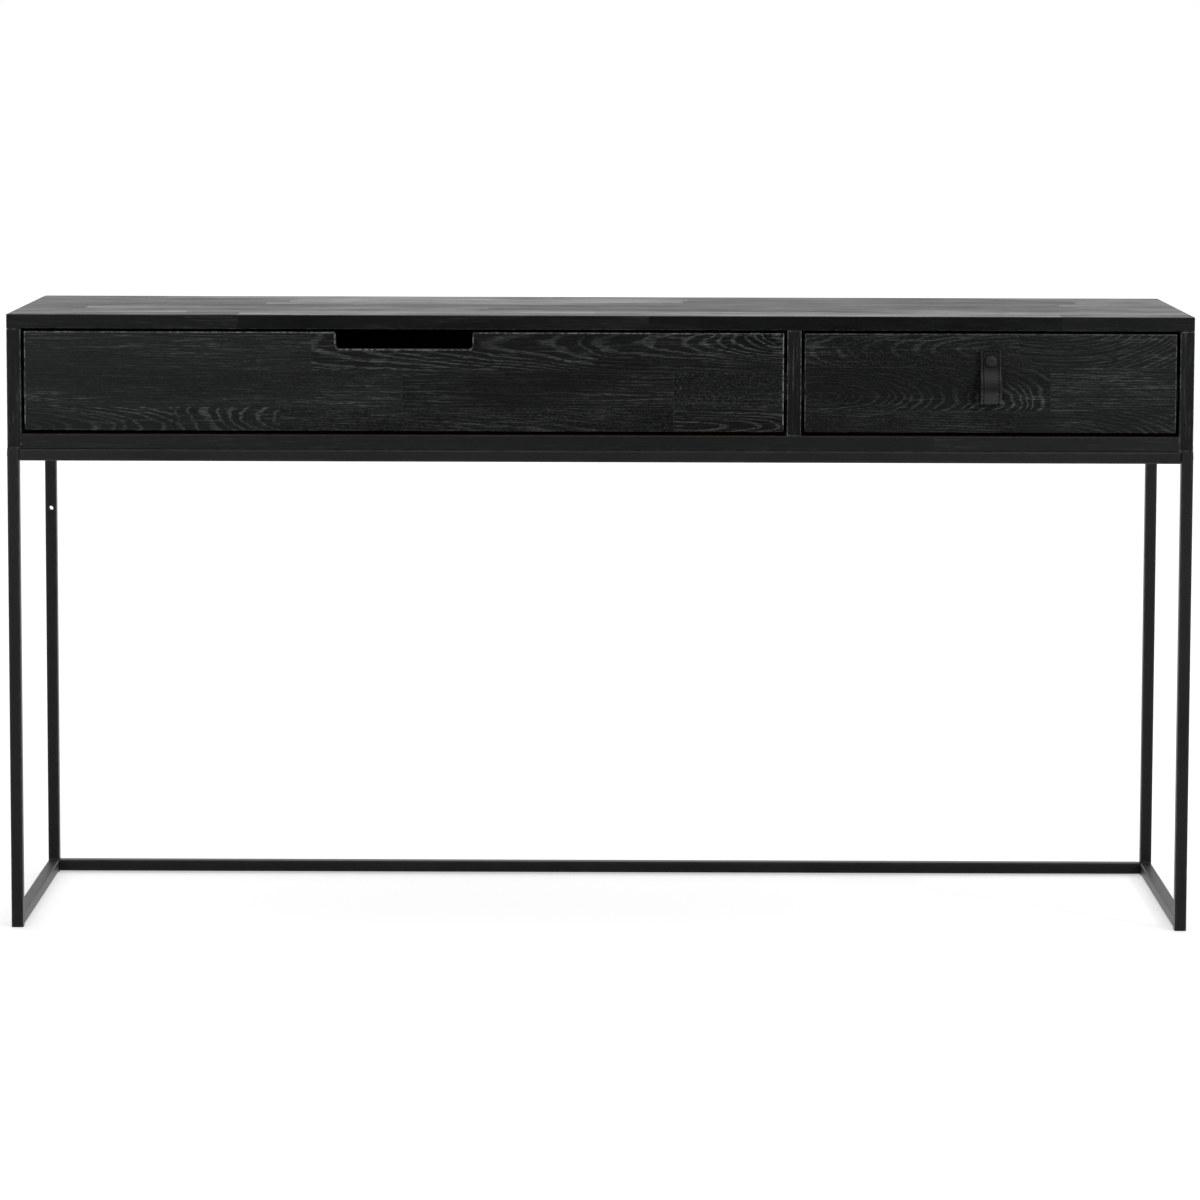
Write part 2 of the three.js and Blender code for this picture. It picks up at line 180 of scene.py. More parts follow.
class Wire:
    def __init__(self, bench, socket):
        self.bench = bench
        self.socket = socket

    def __add__(self, other):
        return self.bench.maths("ADD", self, other)

    def __radd__(self, other):
        return self.bench.maths("ADD", other, self)

    def __sub__(self, other):
        return self.bench.maths("SUBTRACT", self, other)

    def __rsub__(self, other):
        return self.bench.maths("SUBTRACT", other, self)

    def __mul__(self, other):
        return self.bench.maths("MULTIPLY", self, other)

    def __rmul__(self, other):
        return self.bench.maths("MULTIPLY", other, self)

    def __truediv__(self, other):
        return self.bench.maths("DIVIDE", self, other)


class Bench:
    def __init__(self, tree):
        self.nodes = tree.nodes
        self.links = tree.links
        self.nodes.clear()

    def add(self, kind, settings=None, sockets=None, out=0):
        node = self.nodes.new("ShaderNode" + kind)
        for key, value in (settings or {}).items():
            setattr(node, key, value)
        for key, value in (sockets or {}).items():
            if isinstance(value, Wire):
                self.links.new(value.socket, node.inputs[key])
            else:
                node.inputs[key].default_value = value
        return Wire(self, node.outputs[out]) if node.outputs else node

    def maths(self, operation, *values):
        return self.add("Math", {"operation": operation}, dict(enumerate(values)))

    def spot(self):
        return self.add("TexCoord", {}, {}, "Object")

    def worn(self):
        return self.add("Attribute", {"attribute_name": "worn"}, {}, "Fac")

    def split(self, vector):
        first = self.add("SeparateXYZ", {}, {0: vector})
        outs = first.socket.node.outputs
        return [Wire(self, outs[i]) for i in range(3)]

    def point(self, x, y, z):
        return self.add("CombineXYZ", {}, {0: x, 1: y, 2: z})

    def noise(self, vector, scale=1.0, detail=2.0, roughness=0.5):
        return self.add("TexNoise", {"noise_dimensions": "3D"}, {
            "Vector": vector, "Scale": scale, "Detail": detail, "Roughness": roughness}, "Fac")

    def ease(self, value, low, high, start=0.0, end=1.0):
        return self.add("MapRange", {"interpolation_type": "SMOOTHSTEP"}, {
            0: value, 1: low, 2: high, 3: start, 4: end})

    def blend(self, mask, first, second):
        return self.add("Mix", {"data_type": "RGBA"}, {0: mask, 6: first, 7: second}, 2)

    def bump(self, height, strength, distance):
        return self.add("Bump", {}, {"Height": height, "Strength": strength, "Distance": distance})

    def surface(self, sockets):
        body = self.add("BsdfPrincipled", {}, sockets)
        self.add("OutputMaterial", {}, {"Surface": body})


def newFinish(name):
    material = bpy.data.materials.new(name)
    material.use_nodes = True
    return material, Bench(material.node_tree)


def shade(red, green, blue):
    return (red, green, blue, 1.0)


def grey(level):
    return shade(level, level, level)


# A glue line: one where the offset is nothing, fading out over the width.
def seamLine(bench, offset, width):
    return bench.ease(bench.maths("ABSOLUTE", offset), 0.0, width, 1.0, 0.0)


# Brushed oak under a black stain: glued staves, growth rings, open pores, knots, and arrises painted lighter
# for wear and a painted highlight.
# The scales run along, across and through the board; the last one shuffles from stave to stave.
oakLook = {
    "staveWidth": 0.048,
    "staveLength": 0.46,
    "rowStart": 0.0,
    "seed": 1.0,
    "ringWidth": 0.0036,
    "pithSpread": 0.15,
    "pithDepth": 0.012,
    "tilt": 0.34,
    "wobble": 0.010,
    "dark": shade(0.0082, 0.0102, 0.0092),
    "deep": shade(0.0018, 0.0027, 0.0022),
    "brushed": shade(0.105, 0.114, 0.110),
    # the colour of the arrises: wear and a painted highlight
    "edge": shade(0.16, 0.165, 0.16),
    "relief": 0.35,
    "gloss": 0.46,
    "toneSpread": 0.7,
    "sheen": 1.0,
    "figure": 1.0,
    "speckle": 0.5,
    "knots": [],
    "knotReach": (2.4, 1.0),
    "knotHeart": (0.8, 0.45),
    "driftScale": (8.0, 30.0, 30.0, 40.0),
    "poreScale": (95.0, 1150.0, 1150.0, 70.0),
    "brushScale": (16.0, 520.0, 520.0, 31.0),
    "fleckScale": (300.0, 620.0, 620.0, 0.0),
    "patchScale": (4.5, 16.0, 9.0, 11.0),
    "patchShift": 0.3,
    "ringShare": 1.8,
    "shadow": shade(0.0018, 0.0021, 0.0019),
    "bumpDepth": 0.0006,
}


# Staves laid by chance: a pith beside or under each one, leaning along it.
def chanceStaves(bench, along, across, look):
    row = (across - look["rowStart"]) / look["staveWidth"]
    rowNumber = bench.maths("FLOOR", row)
    inRow = row - rowNumber
    stagger = bench.add("TexWhiteNoise", {"noise_dimensions": "1D"}, {
        "W": rowNumber * 3.7 + look["seed"]}, "Value")
    run = along / look["staveLength"] + stagger * 5.0
    runNumber = bench.maths("FLOOR", run)
    inRun = run - runNumber
    lot = bench.add("TexWhiteNoise", {"noise_dimensions": "2D"}, {
        "Vector": bench.point(rowNumber + look["seed"], runNumber, 0.0)}, "Color")
    tone, side, lean = bench.split(lot)
    level = (inRow - 0.5) * look["staveWidth"] - (side - 0.5) * look["pithSpread"]
    under = (inRun - 0.5) * look["staveLength"] * (lean - 0.5) * look["tilt"]
    under = under + look["pithDepth"] + tone * 0.02
    width = look["ringWidth"] * (0.75 + side * 0.5)
    speckle = bench.ease(lean, 0.5, 0.75) * look["speckle"]
    seamRow = bench.ease(bench.maths("ABSOLUTE", inRow - 0.5), 0.490, 0.499)
    seamRun = bench.ease(bench.maths("ABSOLUTE", inRun - 0.5), 0.4990, 0.4997)
    joint = bench.maths("MAXIMUM", seamRow, seamRun)
    return level, under, {"width": width, "tone": tone, "speckle": speckle, "figure": look["figure"],
                          "joint": joint}


# Staves laid one by one: rows from low to high, each a list of staves with the place where it starts.
def handStaves(bench, along, across, look):
    names = ("pith", "under", "lean", "width", "tone", "speckle", "figure")
    totals = {key: 0.0 for key in names}
    joint = 0.0
    for low, high, staves in look["rows"]:
        inRow = bench.maths("GREATER_THAN", across, low) * bench.maths("LESS_THAN", across, high)
        seam = seamLine(bench, across - high, 0.0006)
        joint = bench.maths("MAXIMUM", joint, seam)
        values = {key: staves[0][1][key] for key in names}
        for before, (start, after) in zip(staves, staves[1:]):
            past = bench.maths("GREATER_THAN", along, start)
            seam = seamLine(bench, along - start, 0.0007) * inRow
            joint = bench.maths("MAXIMUM", joint, seam)
            for key in names:
                change = after[key] - before[1][key]
                values[key] = bench.maths("MULTIPLY_ADD", past, change, values[key])
        for key in names:
            totals[key] = bench.maths("MULTIPLY_ADD", inRow, values[key], totals[key])
    level = across - totals["pith"]
    under = totals["under"] + totals["lean"] * along
    return level, under, {**totals, "joint": joint}


def knotHump(bench, along, across, knot, reach):
    x, y, size = knot[:3]
    nearX = (along - x) / (size * reach[0])
    nearY = (across - y) / (size * reach[1])
    return bench.maths("EXPONENT", (nearX * nearX + nearY * nearY) * -1.0)


def oakFinish(name, runs, face, **changes):
    look = {**oakLook, **changes}
    material, bench = newFinish(name)
    spot = bench.spot()
    axes = bench.split(spot)
    along, across, depth = [axes["xyz".index(letter)] for letter in runs]
    lay = handStaves if "rows" in look else chanceStaves
    level, under, wood = lay(bench, along, across, look)
    tone = wood["tone"]
    under = under + (depth - face) * 0.6

    def streaks(key, detail=2.0, roughness=0.5, shift=0.0):
        scale = look[key]
        place = bench.point(along * scale[0] + tone * scale[3], across * scale[1],
                            depth * scale[2] + shift)
        return bench.noise(place, 1.0, detail, roughness)

    # rings around the pith, pushed aside by each knot and faint on a board's edges
    figure = wood["figure"]
    if lay is chanceStaves:
        figure = figure * bench.ease(bench.maths("ABSOLUTE", depth - face), 0.0005, 0.0015, 1.0, 0.15)
    drift = streaks("driftScale", 3.0, 0.55)
    for knot in look["knots"]:
        drift = drift + knotHump(bench, along, across, knot, look["knotReach"]) * knot[3]
    radius = bench.maths("SQRT", level * level + under * under) + (drift - 0.5) * look["wobble"]
    uneven = bench.noise(bench.point(radius * 130.0, tone * 9.0, 0.0), 1.0, 1.0)
    ring = radius / wood["width"] + uneven * look["ringShare"]
    band = bench.ease(bench.maths("SINE", ring * (2 * math.pi)), 0.30, 1.0)

    # open pores and brush marks run straight along the stave and break the rings into dashes
    pores = streaks("poreScale", roughness=0.65)
    brush = streaks("brushScale", roughness=0.6)
    fleck = streaks("fleckScale", roughness=0.6)
    patch = streaks("patchScale", shift=look["patchShift"])
    bare = bench.ease(patch, 0.34, 0.62, 0.16, 1.0)
    lines = band * bench.ease(pores, 0.36, 0.62) * bare * figure
    speckled = bench.ease(fleck, 0.52, 0.70) * wood["speckle"]
    brushed = bench.ease(brush, 0.52, 0.72) * bench.ease(pores, 0.40, 0.60) * bare
    brushed = brushed * (0.15 + tone * 1.25)
    lines = lines * (1.0 - wood["speckle"] * 0.6) * 0.95
    light = bench.maths("MINIMUM", lines + speckled * 0.40 + brushed, 1.0)
    groove = bench.ease(brush, 0.46, 0.30) * bench.ease(pores, 0.62, 0.42)

    # stain, brushed pores, glue joints, knots, bare wood inside, and arrises painted lighter: wear and a
    # painted highlight
    spread = look["toneSpread"]
    stain = bench.ease(tone * spread + patch * 0.4 + (0.7 - spread) * 0.5, 0.20, 0.85)
    ground = bench.blend(stain, look["deep"], look["dark"])
    colour = bench.blend(groove * 0.75, ground, look["deep"])
    colour = bench.blend(light, colour, look["brushed"])
    colour = bench.blend(wood["joint"] * 0.55, colour, look["deep"])
    for knot in look["knots"]:
        heart = knotHump(bench, along, across, knot, look["knotHeart"])
        colour = bench.blend(bench.ease(heart, 0.25, 0.8) * 0.9, colour, look["shadow"])
    if "inside" in look:
        inner = bench.ease(depth, look["inside"] - 0.0001, look["inside"])
        colour = bench.blend(inner, colour, look["raw"])
    rubAndHighlight = bench.ease(bench.worn(), 0.55, 1.0)
    rubAndHighlight = rubAndHighlight * bench.ease(bench.noise(spot, 260.0, 2.0), 0.40, 0.66, 0.12, 1.0)
    # on the fronts the painted highlight fades out below a given height, towards the bottom edges
    if "litEdgeFrom" in look:
        rubAndHighlight = rubAndHighlight * bench.ease(axes[2], look["litEdgeFrom"], look["litEdgeFrom"] + 0.01, 0.1, 1.0)
    colour = bench.blend(rubAndHighlight * 0.6, colour, look["edge"])

    sheen = (tone - 0.5) * 0.05 + (patch - 0.5) * 0.04 + (drift - 0.5) * 0.16 + light * 0.10 + groove * 0.04
    height = light * 0.7 + pores * 0.45 + brush * 0.60 + fleck * 0.15 - wood["joint"] * 0.5
    bench.surface({
        "Base Color": colour,
        "Roughness": look["gloss"] + sheen * look["sheen"] + (fleck - 0.5) * 0.12 - rubAndHighlight * 0.10,
        "Normal": bench.bump(height, look["relief"], look["bumpDepth"]),
    })
    return material


# Fine matt powder over steel, paler at the corners: thinner powder there, and a painted highlight.
def powderFinish(name):
    material, bench = newFinish(name)
    spot = bench.spot()
    peel = bench.noise(spot, 900.0, 2.0, 0.6)
    cloud = bench.noise(spot, 9.0, 3.0)
    worn = bench.worn()
    # the corners are painted paler: worn powder and a painted highlight
    rubAndHighlight = worn * bench.ease(bench.noise(spot, 70.0, 2.0), 0.35, 0.65, 0.3, 1.0)
    colour = bench.blend(bench.ease(cloud, 0.3, 0.7), shade(0.0125, 0.0128, 0.0118),
                         shade(0.0160, 0.0164, 0.0152))
    colour = bench.blend(bench.ease(peel, 0.55, 0.75) * 0.4, colour, shade(0.024, 0.0246, 0.0232))
    colour = bench.blend(rubAndHighlight * 0.5, colour, shade(0.040, 0.042, 0.042))
    bench.surface({
        "Base Color": colour,
        "Roughness": 0.46 + (cloud - 0.5) * 0.08 + (peel - 0.5) * 0.12,
        "Metallic": 0.0,
        "Normal": bench.bump(peel, 0.22, 0.0002),
    })
    return material


def plasticFinish(name, tint):
    material, bench = newFinish(name)
    spot = bench.spot()
    grain = bench.noise(spot, 1500.0, 2.0)
    cloud = bench.noise(spot, 160.0, 2.0)
    colour = bench.blend(cloud, tint, shade(tint[0] * 1.9, tint[1] * 1.9, tint[2] * 1.9))
    bench.surface({
        "Base Color": colour,
        "Roughness": 0.52 + grain * 0.16,
        "Normal": bench.bump(grain, 0.2, 0.0001),
    })
    return material


def screwFinish(name):
    material, bench = newFinish(name)
    spot = bench.spot()
    grain = bench.noise(spot, 1100.0, 3.0)
    cloud = bench.noise(spot, 240.0, 2.0)
    colour = bench.blend(bench.ease(cloud, 0.4, 0.7), shade(0.016, 0.016, 0.017), shade(0.040, 0.039, 0.038))
    bench.surface({
        "Base Color": colour,
        "Metallic": 0.55,
        "Roughness": 0.34 + grain * 0.18,
        "Normal": bench.bump(grain, 0.12, 0.0001),
    })
    return material


def zincFinish(name):
    material, bench = newFinish(name)
    spot = bench.spot()
    x, y, z = bench.split(spot)
    drawn = bench.noise(bench.point(x * 900.0, y * 14.0, z * 900.0), 1.0, 3.0, 0.6)
    cloud = bench.noise(spot, 34.0, 3.0)
    smear = bench.ease(bench.noise(spot, 12.0, 3.0), 0.58, 0.72)
    colour = bench.blend(bench.ease(cloud, 0.3, 0.7), shade(0.50, 0.51, 0.52), shade(0.66, 0.67, 0.67))
    colour = bench.blend(smear * 0.35, colour, shade(0.30, 0.29, 0.27))
    bench.surface({
        "Base Color": colour,
        "Metallic": 1.0,
        "Roughness": 0.26 + drawn * 0.16 + smear * 0.12,
        "Normal": bench.bump(drawn, 0.12, 0.0001),
    })
    return material


# Smooth black leather; the strip's own map runs in metres, across and then along it.
# Heights are the desk's own: a painted highlight low down where the strip bows out, standing in for the
# floor's reflection, and painted shade at its fold below the stud.
leatherLook = {
    "stitchInset": 0.0028,
    "halfWidth": 0.0125,
    "paintedHighlight": (0.6750, 0.6775, 0.6860, 0.6950),
    "paintedShade": (0.688, 0.700, 0.708, 0.720),
    "stud": (0.493, 0.729),
    "studShadow": (0.0078, 0.0092),
}


# One between the two middle levels, fading out to the first and the last.
def levelBand(bench, value, levels):
    rise = bench.ease(value, levels[0], levels[1])
    return rise * bench.ease(value, levels[2], levels[3], 1.0, 0.0)


def leatherFinish(name):
    look = leatherLook
    material, bench = newFinish(name)
    spot = bench.spot()
    flat = bench.add("UVMap", {"uv_map": "strip"}, {}, "UV")
    across, along = bench.split(flat)[:2]
    cells = bench.add("TexVoronoi", {"feature": "DISTANCE_TO_EDGE"}, {
        "Vector": spot, "Scale": 1150.0}, "Distance")
    wrinkle = bench.noise(bench.point(across * 160.0, along * 900.0, 0.0), 1.0, 3.0, 0.6)
    cloud = bench.noise(spot, 120.0, 3.0)
    fromEdge = look["halfWidth"] - bench.maths("ABSOLUTE", across)
    line = bench.maths("ABSOLUTE", fromEdge - look["stitchInset"])
    channel = bench.ease(line, 0.0003, 0.0009, 1.0, 0.0)
    rim = bench.ease(fromEdge, 0.0002, 0.0011, 1.0, 0.0)
    crease = bench.ease(cells, 0.0, 0.22, 1.0, 0.0)
    colour = bench.blend(bench.ease(cloud, 0.3, 0.7), shade(0.0075, 0.0080, 0.0082),
                         shade(0.0115, 0.0121, 0.0124))
    x, y, z = bench.split(spot)
    # a painted reflection low on the bowed strip, and a band of painted shade below the stud
    paintedHighlight = levelBand(bench, z, look["paintedHighlight"])
    colour = bench.blend(paintedHighlight * 0.8, colour, shade(0.042, 0.044, 0.045))
    paintedShade = levelBand(bench, z, look["paintedShade"])
    colour = bench.blend(paintedShade * 0.6, colour, shade(0.0030, 0.0032, 0.0033))
    x = x - look["stud"][0]
    z = z - look["stud"][1]
    # a painted contact shadow in a ring round the stud
    ring = bench.ease(bench.maths("SQRT", x * x + z * z), *look["studShadow"], 1.0, 0.0)
    colour = bench.blend(ring * 0.9, colour, shade(0.0012, 0.0012, 0.0013))
    # painted shade in the grain's creases and along the stitch channel
    colour = bench.blend(crease * 0.35, colour, shade(0.006, 0.0064, 0.0066))
    colour = bench.blend(channel * 0.15, colour, shade(0.005, 0.0053, 0.0055))
    # the strip's rounded edges are painted lighter, a painted highlight
    colour = bench.blend(rim * 0.7, colour, shade(0.050, 0.052, 0.053))
    height = wrinkle * 0.25 - crease * 0.5 - channel * 1.5
    bench.surface({
        "Base Color": colour,
        "Roughness": 0.40 + crease * 0.10 + (cloud - 0.5) * 0.10 - rim * 0.06,
        "Normal": bench.bump(height, 0.30, 0.00025),
    })
    return material


def threadFinish(name):
    material, bench = newFinish(name)
    spot = bench.spot()
    x, y, z = bench.split(spot)
    twist = bench.maths("SINE", (x * 1.0 + z * 1.3) * 9000.0) * 0.5 + 0.5
    fuzz = bench.noise(spot, 2600.0, 2.0)
    colour = bench.blend(twist * 0.5 + fuzz * 0.5, grey(0.0006),
                         shade(0.0018, 0.0018, 0.0019))
    bench.surface({
        "Base Color": colour,
        "Roughness": 0.85 + fuzz * 0.15,
        "Normal": bench.bump(twist, 0.4, 0.0001),
    })
    return material


def studFinish(name):
    material, bench = newFinish(name)
    spot = bench.spot()
    grain = bench.noise(spot, 1400.0, 2.0)
    cloud = bench.noise(spot, 210.0, 3.0)
    scuff = bench.ease(bench.noise(spot, 520.0, 3.0, 0.7), 0.62, 0.74)
    colour = bench.blend(bench.ease(cloud, 0.35, 0.7), shade(0.0210, 0.0217, 0.0220),
                         shade(0.0290, 0.0298, 0.0302))
    colour = bench.blend(scuff * 0.35, colour, shade(0.070, 0.072, 0.073))
    bench.surface({
        "Base Color": colour,
        "Metallic": 0.25,
        "Roughness": 0.56 + grain * 0.12 + scuff * 0.10,
        "Normal": bench.bump(grain, 0.10, 0.0001),
    })
    return material


frameSteel = powderFinish("frameSteel")
glidePlastic = plasticFinish("glidePlastic", shade(0.008, 0.008, 0.0084))
washerPlastic = plasticFinish("washerPlastic", shade(0.006, 0.006, 0.0062))
blackScrew = screwFinish("blackScrew")
runnerSteel = zincFinish("runnerSteel")
strapLeather = leatherFinish("strapLeather")
strapThread = threadFinish("strapThread")
blackStud = studFinish("blackStud")
print("finishes made")


# Case boards: each with its own run of grain, letters in the order along, across, through
caseRows = {"rowStart": -0.19175, "staveWidth": 0.0445}


def uprightGrain(face, seed, figure):
    return {"runs": "zyx", "face": face, "seed": seed, "figure": figure, "staveLength": 0.9,
            "speckle": 0.3, **caseRows}


boardLook = {
    "arris": 0.0009,
    "arrisSteps": 3,
    "rim": 0.0014,
    "boards": {
        "top_panel": {"runs": "xyz", "face": 0.785, "seed": 11.0, "figure": 0.8, **caseRows,
                      "staveLength": 0.52, "relief": 0.16, "speckle": 0.3,
                      "gloss": 0.44, "sheen": 3.4, "toneSpread": 0.25,
                      "edge": shade(0.04, 0.042, 0.04)},
        "bottom_panel": {"runs": "xyz", "face": 0.615, "seed": 23.0, "figure": 0.25, **caseRows,
                         "staveLength": 0.55, "relief": 0.25, "speckle": 0.25,
                         "dark": shade(0.0135, 0.0155, 0.0148), "deep": shade(0.0095, 0.0112, 0.0105),
                         "inside": 0.63298, "raw": shade(0.17, 0.112, 0.070),
                         "edge": shade(0.035, 0.037, 0.036)},
        "left_side_panel": uprightGrain(-0.75, 31.0, 0.5),
        "right_side_panel": uprightGrain(0.75, 37.0, 0.5),
        "divider_panel": uprightGrain(0.236, 41.0, 0.4),
        "back_panel": {"runs": "xzy", "face": 0.20825, "seed": 43.0, "rowStart": 0.633,
                       "staveWidth": 0.0447, "staveLength": 0.50},
    },
}
# the least area of a face that gets a rim, where wear and the painted edge highlight fade in
rimArea = {"board": 1e-3, "tube": 2e-3}


def makeBoard(node, finish):
    look = boardLook
    piece = block(node + "_wood", *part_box(node))
    openEdit(piece)
    bevelAll(look["arris"], look["arrisSteps"])
    closeEdit()
    markRim(piece, look["rim"], rimArea["board"])
    smooth(piece)
    place(piece, "desk", "case_oak", finish, node)


for node, grain in boardLook["boards"].items():
    makeBoard(node, oakFinish(node + "_oak", **grain))
print("case made")


# Drawer fronts: each stave listed one by one, so that the two fronts read as one glued board
def laid(pith, under, lean, width=0.0034, tone=0.5, speckle=0.1, figure=1.0):
    return {"pith": pith, "under": under, "lean": lean, "width": width, "tone": tone,
            "speckle": speckle, "figure": figure}


leftRows = [
    (0.600, 0.668, [(-1.0, laid(0.640, 0.118, 0.15, 0.0034, 0.60, 0.15, 0.9)),
                    (-0.540, laid(0.656, -0.050, -0.19, 0.0034, 0.55, 0.20, 0.9)),
                    (-0.405, laid(0.630, 0.030, 0.05, 0.0030, 0.25, 0.45, 0.4)),
                    (0.093, laid(0.646, 0.010, -0.10, 0.0036, 0.15, 0.05, 0.5))]),
    (0.668, 0.715, [(-1.0, laid(0.600, 0.020, 0.03, 0.0026, 0.70, 0.30, 0.5)),
                    (-0.250, laid(0.618, 0.012, 0.04, 0.0040, 0.34, 0.12, 0.30)),
                    (0.093, laid(0.640, 0.050, 0.02, 0.0030, 0.45, 0.60, 0.4))]),
    (0.715, 0.800, [(-1.0, laid(0.835, 0.030, -0.04, 0.0027, 0.85, 0.25, 0.5)),
                    (-0.365, laid(0.7500, 0.032, -0.062, 0.0030, 0.32, 0.08, 0.60))]),
]
rightRows = [
    (0.600, 0.666, [(0.0, laid(0.590, 0.020, 0.04, 0.0028, 0.40, 0.30, 0.5)),
                    (0.526, laid(0.620, -0.150, 0.27, 0.0040, 0.45, 0.10, 0.8))]),
    (0.666, 0.721, [(0.0, laid(0.6838, -0.066, 0.235, 0.0030, 0.35, 0.10, 0.65)),
                    (0.569, laid(0.600, 0.020, 0.03, 0.0030, 0.55, 0.20, 0.6))]),
    (0.721, 0.800, [(0.0, laid(0.7420, 0.085, -0.16, 0.0040, 0.30, 0.35, 0.4)),
                    (0.5285, laid(0.8000, -0.290, 0.500, 0.0044, 0.50, 0.05, 0.9))]),
]
frontLook = {
    "arris": 0.0013,
    "arrisSteps": 3,
    "sharp": 30,
    "rim": 0.0010,
    "cutout": {"centre": -0.248, "width": 0.173, "depth": 0.0215, "radius": 0.005, "radiusSteps": 8,
               "lip": 0.0026, "lipSteps": 4},
    # each front's edge colour is wear and a painted highlight on its arrises
    "grain": {
        "left": {"runs": "xzy", "face": -0.19075, "rows": leftRows, "relief": 0.9,
                 "edge": shade(0.34, 0.35, 0.34), "litEdgeFrom": 0.640,
                 "knots": [(-0.087, 0.689, 0.0022, 0.5), (0.232, 0.778, 0.030, -2.6)]},
        "right": {"runs": "xzy", "face": -0.19075, "rows": rightRows, "relief": 0.8,
                  "edge": shade(0.15, 0.155, 0.155), "litEdgeFrom": 0.640,
                  "knots": [(0.5285, 0.728, 0.006, 0.7)]},
    },
}


# space around a drawer bottom in its groove, and how far the groove is cut past the wood
grooveLook = {"slack": 0.00025, "past": 0.01}


def cutGroove(piece, label, nearY, farY):
    slack = grooveLook["slack"]
    low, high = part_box(label + "_drawer_bottom")
    cutWith(piece, block("groove", (low.x - slack, nearY, low.z - slack),
                         (high.x + slack, farY, high.z + slack)))


# Opens the finger cut-out in a flat front, with its corners and lips rounded.
def openCutout(piece, cutout, face, top):
    near = 1e-5
    left = cutout["centre"] - cutout["width"] / 2
    right = cutout["centre"] + cutout["width"] / 2
    floor = top - cutout["depth"]
    for x in (left, right):
        pickAll()
        bpy.ops.mesh.bisect(plane_co=(x, face, 0), plane_no=(1, 0, 0))
    pickFaces(piece, lambda f: left < f.calc_center_median().x < right)
    bpy.ops.mesh.bisect(plane_co=(0, face, floor), plane_no=(0, 0, 1))
    pickFaces(piece, lambda f: left < f.calc_center_median().x < right
              and f.calc_center_median().z > floor)
    bpy.ops.mesh.delete(type="FACE")
    pickAll()
    bpy.ops.mesh.dissolve_faces()
    pickPoints(piece, lambda p: abs(p.co.z - floor) < near)
    bpy.ops.mesh.bevel(offset=cutout["radius"], segments=cutout["radiusSteps"], affect="VERTICES")
    pickPoints(piece, lambda p: abs(p.co.z - top) < near
               and min(abs(p.co.x - left), abs(p.co.x - right)) < near)
    bpy.ops.mesh.bevel(offset=cutout["lip"], segments=cutout["lipSteps"], affect="VERTICES")


def makeFront(label, cutout=None):
    look = frontLook
    low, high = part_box(label + "_drawer_front")
    middle = (low + high) / 2
    letGo()
    bpy.ops.mesh.primitive_plane_add(
        size=1, location=(middle.x, low.y, middle.z), rotation=(math.pi / 2, 0, 0))
    piece = bpy.context.object
    piece.name = label + "_drawer_front_wood"
    piece.scale = (high.x - low.x, high.z - low.z, 1)
    settle(piece)
    openEdit(piece)
    if cutout:
        openCutout(piece, cutout, low.y, high.z)
    bpy.ops.mesh.select_mode(type="FACE")
    pickAll()
    drawOut(0, high.y - low.y, 0)
    faceOutward()
    pickEdges(piece, lambda e: len(e.link_faces) == 2 and e.calc_face_angle(0) > math.radians(look["sharp"]))
    bpy.ops.mesh.bevel(offset=look["arris"], segments=look["arrisSteps"], affect="EDGES")
    closeEdit()
    # the cut-out's floor gets no inner rim, so all of it takes the lighter edge colour, a painted highlight
    belowTop = high.z - look["cutout"]["depth"] / 2
    markRim(piece, look["rim"], rimArea["board"],
            lambda f: f.normal.z > 0.9 and f.calc_center_median().z < belowTop)
    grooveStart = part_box(label + "_drawer_bottom")[0].y - grooveLook["slack"]
    cutGroove(piece, label, grooveStart, high.y + grooveLook["past"])
    smooth(piece)
    finish = oakFinish(label + "_front_oak", **look["grain"][label])
    place(piece, label + "_drawer", "front_oak", finish, label + "_drawer_front")


makeFront("left", frontLook["cutout"])
makeFront("right")
print("drawer fronts made")


# Drawer boxes
boxLook = {
    "arris": 0.0012,
    "bottomArris": 0.0004,
    "arrisSteps": 3,
    "rim": 0.002,
    "seedStep": 5.0,
    "runs": {"left_side": "yzx", "right_side": "yzx", "back": "xzy", "bottom": "xyz"},
    "grain": {"staveWidth": 0.05, "staveLength": 0.7, "relief": 0.25, "figure": 0.55},
}


def makeDrawerBox(label, seed):
    look = boxLook
    for number, (part, order) in enumerate(look["runs"].items()):
        node = f"{label}_drawer_{part}"
        low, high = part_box(node)
        finish = oakFinish(node + "_oak", order, low["xyz".index(order[2])],
                           seed=seed + look["seedStep"] * number,
                           rowStart=low["xyz".index(order[1])], **look["grain"])
        piece = block(node + "_wood", low, high)
        openEdit(piece)
        bevelAll(look["bottomArris"] if part == "bottom" else look["arris"], look["arrisSteps"])
        closeEdit()
        markRim(piece, look["rim"], rimArea["board"])
        if part.endswith("side"):
            cutGroove(piece, label, low.y - grooveLook["past"], high.y + grooveLook["past"])
        smooth(piece)
        place(piece, label + "_drawer", "drawer_box_oak", finish, node)


makeDrawerBox("left", 71.0)
makeDrawerBox("right", 97.0)
print("drawer boxes made")


# Frame of square tube
tubeLook = {"corner": 0.0016, "cornerSteps": 5, "rim": 0.0018, "endArris": 0.00025, "wall": 0.0015,
            "sharp": 30}
holeLook = {"radius": 0.00325, "height": 0.498, "sides": 40, "reach": 0.04}


def makeTube(node, axis):
    look = tubeLook
    low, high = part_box(node)
    piece = block(node + "_tube", low, high)
    openEdit(piece)
    pickEdges(piece, lambda e: abs(e.verts[0].co[axis] - e.verts[1].co[axis]) > 1e-3)
    bpy.ops.mesh.bevel(offset=look["corner"], segments=look["cornerSteps"], affect="EDGES")
    pickFaces(piece, lambda f: abs(f.normal[axis]) > 0.99)
    bpy.ops.mesh.inset(thickness=look["endArris"])
    closeEdit()
    markRim(piece, look["rim"], rimArea["tube"])
    return piece


